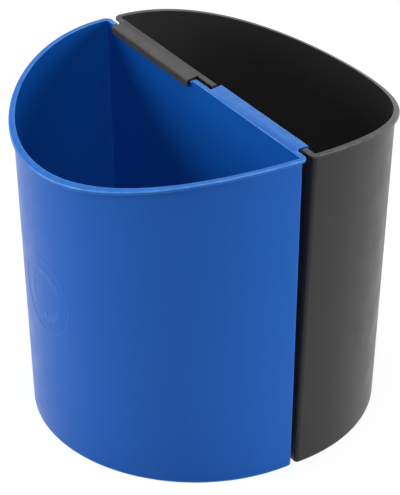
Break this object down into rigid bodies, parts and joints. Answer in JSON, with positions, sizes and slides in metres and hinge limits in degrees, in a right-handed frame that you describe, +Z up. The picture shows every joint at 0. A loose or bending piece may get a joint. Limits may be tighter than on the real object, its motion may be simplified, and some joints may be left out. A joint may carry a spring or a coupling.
{
  "type": "double recycling bin",
  "caption": "Matching half-round waste bins, one blue and one black, that hook together back to back along their flat walls.",
  "frame": {"origin": "on the floor, midway between the two flat walls and centred along them", "axes": "+X along the flat walls, +Y from the blue bin to the black bin, +Z up"},
  "size_m": [0.394, 0.416, 0.382],
  "materials": {
    "black_plastic": "satin moulded polypropylene",
    "blue_plastic": "satin moulded polypropylene"
  },
  "bodies": {
    "black": {"black_bin": "black_plastic"},
    "blue": {"blue_bin": "blue_plastic"}
  },
  "joints": [
    {"name": "unhook_tilt", "type": "hinge", "parent": "black", "child": "blue", "pos_m": [0, 0, 0.382], "axis": [0, -1, 0], "range_deg": [0, 34]}
  ]
}
